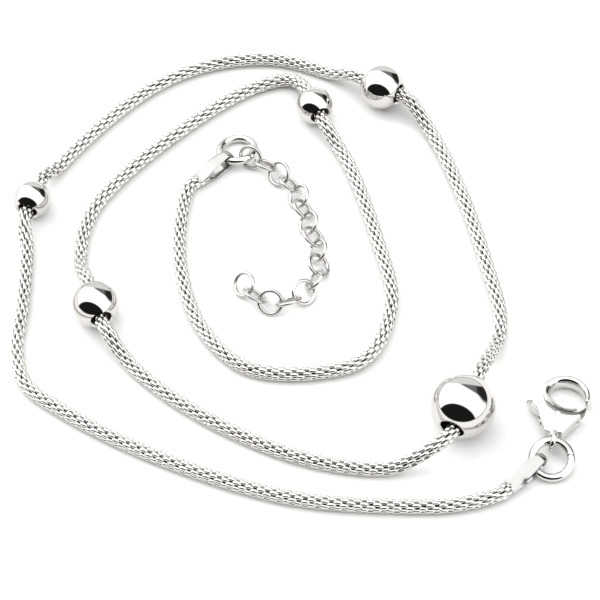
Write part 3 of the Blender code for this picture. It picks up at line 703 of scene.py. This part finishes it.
def tag_shell(tag):
    """The strip: along the lower layer, round the fold's half circle and back along the upper layer."""
    tip = TAG_LENGTH - TAG_LOOP - TAG_STRAP / 2 - TAG_FOLD_BACK
    fold = np.linspace(-np.pi / 2, np.pi / 2, TAG_FOLD_POINTS)[1:-1]
    bend = np.stack([tip + TAG_LOOP * np.cos(fold), TAG_LOOP * np.sin(fold)], -1)
    corners = [*TAG_LOWER, (tip, -TAG_LOOP), *bend, (tip, TAG_LOOP), *TAG_UPPER]
    side_view = curve_through(corners, TAG_STEP)
    path = np.column_stack([side_view[:, 0], 0 * side_view[:, 0], side_view[:, 1]])
    across = np.broadcast_to([0, 1.0, 0], path.shape)
    normal = np.cross(unit(np.gradient(path, axis=0)), across)
    share = np.clip((path[:, 0] - TAG_TAPER_START) / (tip + TAG_LOOP - TAG_TAPER_START), 0, 1)
    width = 1 - TAG_TAPER * share**TAG_TAPER_POWER
    section = rounded_section(TAG_WIDTH / 2, TAG_STRAP / 2, TAG_SQUARENESS, TAG_COLUMNS)[None]
    section = section * np.stack([width, 1 + 0 * width], -1)[:, None]
    pitch = -math.degrees(math.asin(tag["lift"] / (TAG_LENGTH - TAG_LOOP_RUN / 2)))
    place = shifted(*tag["tail"], CHAIN_RADIUS) @ turned("Z", tag["heading"])
    place = place @ turned("Y", pitch) @ turned("X", tag["roll"])
    return tube(path * MM, across, normal, section * MM).moved(place)


for name, tag in (("end_tag_clasp", CLASP_TAG), ("end_tag_extender", EXTENDER_TAG)):
    shell = tag_shell(tag)
    mesh = mesh_of(name, shell, sharp=30)
    add_piece(name + "_strap", mesh, silvers["sheet_silver"], (name,))
    print(name, "faces:", len(shell.face_sets[0]))


# %% [markdown]
# The clasp is cast in one piece. A rounded rod runs from the hook's tip over the top, down the left side and
# along the lower edge of the opening, where a groove parts it from a flat three-sided front. Seen from the
# opening's middle, both are rings between an inner and an outer outline. The opening is an ellipse, and the
# outline is the hook's arc and the front's straight sides, so both are read off by angle.

# %% Outline the clasp
CLASP_HEADING = -17.5
CLASP_TILT = 3.4
PIVOT = (-0.4, -3.6)
CLASP_HALF = 1.0
HOOK_CENTRE = np.array([0.1, -0.55])
HOOK_RADIUS = 3.2
HOOK_SWEEP = (-33, 196)
HOOK_ROWS = 60
OPENING_CENTRE = np.array([0.4, -0.45])
OPENING = (2.2, 1.8, math.radians(-30))
FRONT_BOTTOM = -6.3
FRONT_CORNERS = ((-2.75, -3.5), (-1.6, FRONT_BOTTOM), (0.5, FRONT_BOTTOM), (2.25, -3.5))

hinge = frame["joints"][0]
clasp_place = turned("Z", CLASP_HEADING) @ turned("X", -CLASP_TILT)
clasp_place[:3, 3] = np.array(hinge["pos_m"]) - clasp_place[:3, :3] @ (np.array([*PIVOT, CLASP_HALF]) * MM)
print("clasp axis error:", np.round(clasp_place[:3, 2] - np.array(hinge["axis"]), 4))


def opening_reach(turn):
    """Distance from the opening's middle to its edge: an ellipse in polar form."""
    a, b, lean = OPENING
    return a * b / np.hypot(b * np.cos(turn - lean), a * np.sin(turn - lean))


def outline_reach(turn, corners):
    """Distance from the opening's middle to a closed outline, read off by angle."""
    offset = corners - OPENING_CENTRE
    angle = np.unwrap(np.arctan2(offset[:, 1], offset[:, 0]))
    angle, reach = np.append(angle, angle[0] + 2 * np.pi), np.hypot(*offset.T)
    return np.interp((turn - angle[0]) % (2 * np.pi) + angle[0], angle, np.append(reach, reach[0]))


def dense(corners, each):
    """Straight runs between corners, each split into this many steps."""
    corners = np.asarray(corners, float)
    step = np.linspace(0, 1, each, endpoint=False)[None, :, None]
    return (corners[:, None] * (1 - step) + np.roll(corners, -1, axis=0)[:, None] * step).reshape(-1, 2)


hook_turn = np.radians(np.linspace(*HOOK_SWEEP, HOOK_ROWS))
hook_arc = HOOK_CENTRE + HOOK_RADIUS * outward(hook_turn)[:, :2]
body_corners = dense(np.concatenate([hook_arc, FRONT_CORNERS]), each=6)
print("outline points:", len(body_corners))


# %% [markdown]
# The rod and the front are each a rounded section carried round an angle, as wide as the two outlines are
# apart. The groove is cut by a tube that follows the opening's edge, and a dark strip of painted shade lies in
# it. A short neck leads down to the eye, a wire ring that holds the jump ring.

# %% Shape the rod, the front, the groove, the neck and the eye
RIM = 0.8
RIM_START = 170
RIM_RUN = 45
ROD_SWEEP = (-21, 305)
ROD_ROWS = 160
ROD_ENDS = (0.14, 0.05)
ROD_END_HEIGHT = 0.35
ROD_END_LEAST = 0.02
ROD_SQUARENESS = 2.2
FRONT_SWEEP = (160, 303)
FRONT_ROWS = 120
FRONT_OVERLAP = 0.3
FRONT_HALF = 0.95
FRONT_SQUARENESS = 9
GROOVE_REACH = 0.84
GROOVE_HALF_WIDTH = 0.42
GROOVE_DEPTH = 0.37
GROOVE_SWEEP = (190, 318)
GROOVE_ROWS = 80
GROOVE_OPENING = (0.05, 4)
GROOVE_SHADE_SWEEP = (198, 312)
GROOVE_SHADE_ROWS = 70
GROOVE_SHADE_TIP = 0.04
GROOVE_SHADE_HALF_WIDTH = 0.3
GROOVE_SHADE_HALF_HEIGHT = 0.07
GROOVE_SHADE_DEPTH = 0.3
GROOVE_SHADE_SHIFT = 0.04
EYE_RADIUS = 1.075
EYE_WIRE = 0.65
EYE_SIDE = -0.55
EYE_BELOW = 0.8
EYE_ON_RING = 80
EYE_UNDER_WIRE = 0.15
EYE_LEAN = 14
NECK_ROWS = 9
NECK_RUN = (-5.6, -6.75)
NECK_HALF = 0.85
NECK_PINCH = 0.5
NECK_FLATTEN = 0.1
NECK_SQUARENESS = 3.5


def ring_shell(turn, inner, outer, half_height, squareness, columns=36):
    """A section between two outlines at each angle round the opening, as wide as they are apart."""
    out = outward(turn)
    middle = np.append(OPENING_CENTRE, CLASP_HALF) + out * ((inner + outer) / 2)[:, None]
    section = rounded_section(1, 1, squareness, columns)[None]
    size = np.stack([(outer - inner) / 2, half_height + 0 * turn], -1)[:, None]
    return tube(middle * MM, out, upright(out), section * size * MM)


def along_opening(turn, shift, height, section, size):
    """A tube at a distance from the opening's edge and at a height, with its section scaled along it."""
    out = outward(turn)
    line = np.append(OPENING_CENTRE, height) + (opening_reach(turn) + shift)[:, None] * out
    return tube(line * MM, out, upright(out), section[None] * size[:, None, None] * MM)


def rounded_ends(turn, first, last):
    """1 along the run and falling as a quarter circle to nearly 0 within this many radians of each end."""
    near = np.minimum((turn - turn[0]) / first, (turn[-1] - turn) / last)
    return np.sqrt(np.clip(1 - (1 - np.clip(near, 0, 1)) ** 2, ROD_END_LEAST, 1))


rod_turn = np.radians(np.linspace(*ROD_SWEEP, ROD_ROWS))
rim_share = np.clip((rod_turn - math.radians(RIM_START)) / math.radians(RIM_RUN), 0, 1)
rim_share = rim_share**2 * (3 - 2 * rim_share)
rod_inner = opening_reach(rod_turn)
rod_outer = outline_reach(rod_turn, body_corners) * (1 - rim_share) + (rod_inner + RIM) * rim_share
ends = rounded_ends(rod_turn, *ROD_ENDS)
centre = (rod_inner + rod_outer) / 2
half = (rod_outer - rod_inner) / 2 * ends
rod_height = CLASP_HALF * (ROD_END_HEIGHT + (1 - ROD_END_HEIGHT) * ends)
rod = ring_shell(rod_turn, centre - half, centre + half, rod_height, ROD_SQUARENESS)

front_turn = np.radians(np.linspace(*FRONT_SWEEP, FRONT_ROWS))
front_outer = outline_reach(front_turn, body_corners)
front_inner = np.minimum(opening_reach(front_turn) + FRONT_OVERLAP, front_outer - FRONT_OVERLAP)
front = ring_shell(front_turn, front_inner, front_outer, CLASP_HALF * FRONT_HALF, FRONT_SQUARENESS, 48)

groove = along_opening(
    np.radians(np.linspace(*GROOVE_SWEEP, GROOVE_ROWS)), GROOVE_REACH, 2 * CLASP_HALF,
    rounded_section(GROOVE_HALF_WIDTH, GROOVE_DEPTH, 2, 24),
    np.clip(np.linspace(*GROOVE_OPENING, GROOVE_ROWS), 0, 1) ** 0.5,
)
# A thin dark strip of painted shade along the floor of the groove
groove_shade = along_opening(
    np.radians(np.linspace(*GROOVE_SHADE_SWEEP, GROOVE_SHADE_ROWS)),
    GROOVE_REACH - GROOVE_SHADE_SHIFT, 2 * CLASP_HALF - GROOVE_SHADE_DEPTH,
    rounded_section(GROOVE_SHADE_HALF_WIDTH, GROOVE_SHADE_HALF_HEIGHT, 2.5, 16),
    np.sin(np.linspace(GROOVE_SHADE_TIP, np.pi - GROOVE_SHADE_TIP, GROOVE_SHADE_ROWS)) ** 0.5,
)

eye_middle = np.array([EYE_SIDE, FRONT_BOTTOM - EYE_BELOW, 0.0])
ring_wire = np.append(outward(math.radians(EYE_ON_RING)) * jump_ring_radius * MM, 1)
held_wire = np.linalg.inv(clasp_place) @ jump_ring_place(CLASP_RING) @ ring_wire
eye_middle[2] = held_wire[2] / MM - EYE_UNDER_WIRE
eye_place = np.eye(4)
eye_place[:3, 3] = eye_middle * MM
eye = wire_ring(EYE_RADIUS, EYE_WIRE, joint=0, rows=72, columns=20, cut=False)
eye = eye.moved(eye_place @ turned("Y", 90 + EYE_LEAN))

neck_share = np.linspace(0, 1, NECK_ROWS)
neck_path = np.column_stack([
    np.full(NECK_ROWS, EYE_SIDE), np.linspace(*NECK_RUN, NECK_ROWS),
    CLASP_HALF + (eye_middle[2] - CLASP_HALF) * neck_share,
])
neck_size = np.column_stack([
    NECK_HALF - NECK_PINCH * neck_share**1.5, NECK_HALF - NECK_FLATTEN * neck_share,
])
neck = tube(
    neck_path * MM, np.broadcast_to([1.0, 0, 0], neck_path.shape), upright(neck_path),
    rounded_section(1, 1, NECK_SQUARENESS, 32)[None] * neck_size[:, None] * MM,
)
print("eye's middle in mm:", np.round(eye_middle, 2), "rod rows:", len(rod_turn))


# %% [markdown]
# The rod, the front, the neck and the eye meet in curves that are awkward to work out by hand, so they are
# joined by exact booleans, and so are the cuts. A slot and a pin hole make room for the lever. The slot's
# outline is four arcs about the pin: two deep ones where the lever's arms swing, two just clear of its hub.

# %% Join and cut the casting
PIN_SIDES = 32
PIN_RADIUS = 0.35
PIN_HOLE_RADIUS = 0.39
PIN_TOP = 1.97
SLOT_HALF = 0.58
# Each sector of the slot has its angles about the pin, its reach and its number of points
SLOT_SECTORS = (
    ((-7, 75), 3.56, 16), ((75, 140), 1.05, 12), ((140, 214), 4.8, 16), ((214, 335), 1.05, 16),
)


def prism(outline, low, high):
    """An outline in the clasp's plane, raised between two heights."""
    layer = [np.column_stack([outline, np.full(len(outline), h)]) for h in (low, high)]
    return Shell(np.stack(layer) * MM, [grid_quads(2, len(outline)), *end_caps(2, len(outline))])


def about_pivot(degrees, reach, count):
    """Points on an arc about the clasp's pin: the pin's place plus the reach times cosine and sine."""
    turn = np.radians(np.linspace(*degrees, count))
    return np.array(PIVOT) + reach * outward(turn)[:, :2]


def pin_circle(radius):
    """A full circle of points about the clasp's pin."""
    return about_pivot((0, 360 - 360 / PIN_SIDES), radius, PIN_SIDES)


def solid(name, shell):
    """A helper object of a shell, for joining and cutting."""
    helper = bpy.data.objects.new(name, mesh_of(name, shell))
    bpy.context.scene.collection.objects.link(helper)
    return helper


def combined(name, base, steps, sharp):
    """One mesh from a base shell after joining and cutting other shells, with the helpers removed."""
    holder = solid(name, base)
    helpers = [solid(f"{name}_{number}", shell) for number, (_, shell) in enumerate(steps)]
    for (operation, _), helper in zip(steps, helpers):
        modifier = holder.modifiers.new(operation, "BOOLEAN")
        modifier.operation = operation
        modifier.solver = "EXACT"
        modifier.object = helper
    bpy.context.view_layer.update()
    mesh = bpy.data.meshes.new_from_object(holder.evaluated_get(bpy.context.evaluated_depsgraph_get()))
    for helper in (holder, *helpers):
        bpy.data.objects.remove(helper)
    mesh.shade_smooth()
    mesh.set_sharp_from_angle(angle=math.radians(sharp))
    return mesh


slot_outline = np.concatenate([about_pivot(*sector) for sector in SLOT_SECTORS])
slot = prism(slot_outline, CLASP_HALF - SLOT_HALF, CLASP_HALF + SLOT_HALF)
pin_hole = prism(pin_circle(PIN_HOLE_RADIUS), -1, 3)
body_steps = (
    ("UNION", front), ("DIFFERENCE", groove), ("UNION", neck), ("UNION", eye), ("DIFFERENCE", slot),
    ("DIFFERENCE", pin_hole),
)
body_mesh = combined("clasp_body", rod, body_steps, sharp=32)
body_mesh.transform(Matrix(clasp_place))
add_piece("clasp_casting", body_mesh, silvers["cast_silver"], ("clasp_body",))
groove_shade_mesh = mesh_of("clasp_groove_painted_shade", groove_shade.moved(clasp_place))
add_piece("clasp_groove_painted_shade", groove_shade_mesh, silvers["recess_painted_shade"])
print("clasp casting faces:", len(body_mesh.polygons))


# %% [markdown]
# The lever turns on a pin in the body's slot. One arm is the gate, whose nose closes the mouth under the
# hook's tip, and the other comes out on the left as a dished thumb tab. Each arm is a rounded section carried
# along a bent line in the clasp's plane. The nose is as dark as the groove, since it sits in the mouth's
# shade. The pin is a plain rivet, a circle raised through the lever and both walls of the slot.

# %% Make the lever and its pin
ARM_STEP = 0.08
LEVER_HALF = 0.5
HUB_RADIUS = 0.95
GATE_LINE = ((-0.4, -3.55), (0.7, -3.5), (1.65, -3.2), (2.25, -2.75), (2.6, -2.2), (2.78, -1.8))
GATE_WIDTHS = (0.42, 0.44, 0.5, 0.5, 0.42, 0.3, 0.12)
GATE_HEIGHTS = (0.5, 0.5, 0.5, 0.5, 0.5, 0.45, 0.3)
TAB_LINE = ((-0.6, -3.6), (-1.7, -3.5), (-2.6, -3.0), (-3.4, -2.35), (-4.1, -1.95), (-4.45, -1.8))
TAB_WIDTHS = (0.36, 0.36, 0.36, 0.42, 0.45, 0.2)
TAB_HEIGHTS = (0.5, 0.5, 0.5, 0.85, 0.85, 0.4)
TAB_DISH = 0.5
NOSE_MIDDLE = np.array([2.5, -2.3])
NOSE_SHADE_REACH = 0.9


def arm(points, widths, heights, squareness, dish=0.0):
    """A section carried along a bent line, with half sizes read off along it.

    Its top is lowered by the dish times the square of the way along times 1 minus the square of the way out.
    """
    line = curve_through(points, ARM_STEP)
    share = length_along(line) / length_along(line)[-1]
    stops = np.linspace(0, 1, len(widths))
    width, high = np.interp(share, stops, widths), np.interp(share, stops, heights)
    path = np.column_stack([line, np.full(len(line), CLASP_HALF)])
    forward = unit(np.gradient(path, axis=0))
    top = upright(path)
    section = rounded_section(1, 1, squareness, 32)[None] * np.stack([width, high], -1)[:, None]
    hollow = dish * share[:, None] ** 2 * np.clip(1 - (section[..., 0] / width[:, None]) ** 2, 0, 1)
    section[..., 1] -= np.where(section[..., 1] > 0, hollow, 0)
    return tube(path * MM, np.cross(top, forward), top, section * MM)


gate = arm(GATE_LINE, GATE_WIDTHS, GATE_HEIGHTS, squareness=4)
tab = arm(TAB_LINE, TAB_WIDTHS, TAB_HEIGHTS, squareness=5, dish=TAB_DISH)
hub = prism(pin_circle(HUB_RADIUS), CLASP_HALF - LEVER_HALF, CLASP_HALF + LEVER_HALF)
lever_steps = (("UNION", gate), ("UNION", tab), ("DIFFERENCE", pin_hole))
lever_mesh = combined("clasp_lever", hub, lever_steps, sharp=32)
face_middles = np.empty(len(lever_mesh.polygons) * 3)
lever_mesh.polygons.foreach_get("center", face_middles)
from_nose = np.linalg.norm(face_middles.reshape(-1, 3)[:, :2] / MM - NOSE_MIDDLE, axis=1)
lever_mesh.transform(Matrix(clasp_place))
add_piece(
    "clasp_lever_casting", lever_mesh, silvers["cast_silver"], ("clasp_lever",), "lever"
)
# The faces near the gate's nose get the groove's painted shade, as the nose sits in the mouth's shade
lever_mesh.materials.append(silvers["recess_painted_shade"])
lever_mesh.polygons.foreach_set("material_index", (from_nose < NOSE_SHADE_REACH).astype(np.int32))
pin_mesh = mesh_of("clasp_pin", prism(pin_circle(PIN_RADIUS), 0.0, PIN_TOP).moved(clasp_place))
add_piece("clasp_pin_rivet", pin_mesh, silvers["wire_silver"], ("clasp_pin",))
print("lever faces:", len(lever_mesh.polygons))


# %% [markdown]
# The photograph's studio can be read in the beads, which mirror all of it: white on every side and above, a
# dark opening low in front and to the left where the camera and its operator stand, and behind the necklace
# a pale grey backdrop with a dark gap beside it. The world is painted the same way, as cones of light and
# dark about chosen directions. The floor is a plain pale disc, and one soft lamp adds a little direction.

# %% Light the studio
WHITE = 2.1
DARK = 0.015
BACKDROP = 1.08
# Each cone has a colour, then its azimuth, elevation, radius and blur in degrees
SKY_CONES = (
    ((0.24, 0.24, 0.24), (38, 8, 46, 3)),
    ((0.03, 0.03, 0.03), (70, 12, 24, 8)),
    ((BACKDROP, BACKDROP, BACKDROP), (13, 3, 36, 2)),
    ((DARK, DARK, DARK * 0.95), (-150, 0, 61, 3)),
    ((0.12, 0.12, 0.12), (0, -90, 92.5, 1.2)),
)
LAMP_WIDTH = 0.5
LAMP_POWER = 1.2
LAMP_FROM = np.array([-0.45, 0.35, 0.75])
FLOOR_RINGS = (0.02, 0.2, 3.0)
FLOOR_SIDES = 64
FLOOR_DROP = 0.00001
FLOOR_FINISH = {"Base Color": (0.93, 0.925, 0.915, 1), "Roughness": 0.9, "Specular IOR Level": 0.0}


def toward(azimuth, elevation):
    """Unit vector for an azimuth, 0 away from the viewer and 90 to the right, and an elevation."""
    a, e = math.radians(azimuth), math.radians(elevation)
    return (math.sin(a) * math.cos(e), math.cos(a) * math.cos(e), math.sin(e))


world = bpy.data.worlds.new("studio")
bpy.context.scene.world = world
world.use_nodes = True
sky = world.node_tree
sky_direction = sky.nodes.new("ShaderNodeTexCoord").outputs["Generated"]


def cone(azimuth, elevation, radius, blur):
    """1 within this angle of a direction and 0 outside, by the cosine between the two directions."""
    cosine = sky.nodes.new("ShaderNodeVectorMath")
    cosine.operation = "DOT_PRODUCT"
    cosine.inputs[1].default_value = toward(azimuth, elevation)
    sky.links.new(sky_direction, cosine.inputs[0])
    ends = [math.cos(math.radians(radius + side * blur)) for side in (1, -1)]
    edge = new_node(sky.nodes, "ShaderNodeMapRange", {"From Min": ends[0], "From Max": ends[1]})
    edge.interpolation_type = "SMOOTHSTEP"
    sky.links.new(cosine.outputs["Value"], edge.inputs["Value"])
    return edge.outputs["Result"]


def painted(under, mask, colour):
    """The colour where the mask is 1, over what is under it."""
    mix = sky.nodes.new("ShaderNodeMix")
    mix.data_type = "RGBA"
    sky.links.new(mask, mix.inputs["Factor"])
    if isinstance(under, tuple):
        mix.inputs["A"].default_value = (*under, 1)
    else:
        sky.links.new(under, mix.inputs["A"])
    mix.inputs["B"].default_value = (*colour, 1)
    return mix.outputs["Result"]


sky_colour = (WHITE, WHITE, WHITE)
for colour, place in SKY_CONES:
    sky_colour = painted(sky_colour, cone(*place), colour)
sky.links.new(sky_colour, sky.nodes["Background"].inputs["Color"])

lamp_data = bpy.data.lights.new("softbox", "AREA")
lamp_data.shape = "DISK"
lamp_data.size = LAMP_WIDTH
lamp_data.energy = LAMP_POWER
lamp = bpy.data.objects.new("softbox", lamp_data)
bpy.context.scene.collection.objects.link(lamp)
lamp_back = unit(LAMP_FROM)
lamp_side = unit(np.cross([0, 0, 1.0], lamp_back))
aim = np.eye(4)
aim[:3, :3] = np.column_stack([lamp_side, np.cross(lamp_back, lamp_side), lamp_back])
aim[:3, 3] = LAMP_FROM
lamp.matrix_world = Matrix(aim)

around = np.linspace(0, 2 * np.pi, FLOOR_SIDES, endpoint=False)
floor_points = np.array(FLOOR_RINGS)[:, None, None] * outward(around) - [0, 0, FLOOR_DROP]
floor_faces = grid_quads(len(FLOOR_RINGS), FLOOR_SIDES).tolist() + [list(range(FLOOR_SIDES))]
floor_mesh = bpy.data.meshes.new("floor")
floor_mesh.from_pydata(floor_points.reshape(-1, 3).tolist(), [], floor_faces)
floor = bpy.data.objects.new("floor", floor_mesh)
bpy.context.scene.collection.objects.link(floor)
floor_paint = bpy.data.materials.new("pale_floor")
floor_paint.use_nodes = True
for socket, value in FLOOR_FINISH.items():
    floor_paint.node_tree.nodes["Principled BSDF"].inputs[socket].default_value = value
floor_mesh.materials.append(floor_paint)
print("cones in the sky:", len(SKY_CONES), "floor faces:", len(floor_faces))
